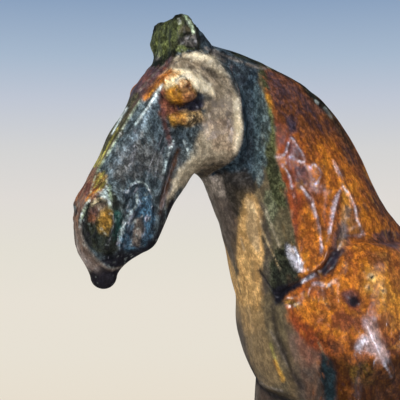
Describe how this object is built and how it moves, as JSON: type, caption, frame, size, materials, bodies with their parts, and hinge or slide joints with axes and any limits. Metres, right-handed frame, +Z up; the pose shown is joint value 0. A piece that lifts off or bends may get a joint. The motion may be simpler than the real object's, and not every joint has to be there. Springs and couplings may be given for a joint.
{
  "type": "sancai pottery horse",
  "caption": "Standing glazed pottery horse with a bowed head, arched neck and short tail on a low slab, in amber, green, blue and cream lead glaze.",
  "frame": {"origin": "the middle of the slab's underside", "axes": "the horse faces -X, +Z is up, and Y runs across it: y = 0 is its plane of symmetry"},
  "size_m": [0.4257, 0.136, 0.4385],
  "materials": {
    "sancai_glaze": "gloss",
    "bare_clay": "matte"
  },
  "bodies": {
    "root": {"horse": "sancai_glaze", "base_slab": "bare_clay"}
  },
  "joints": []
}
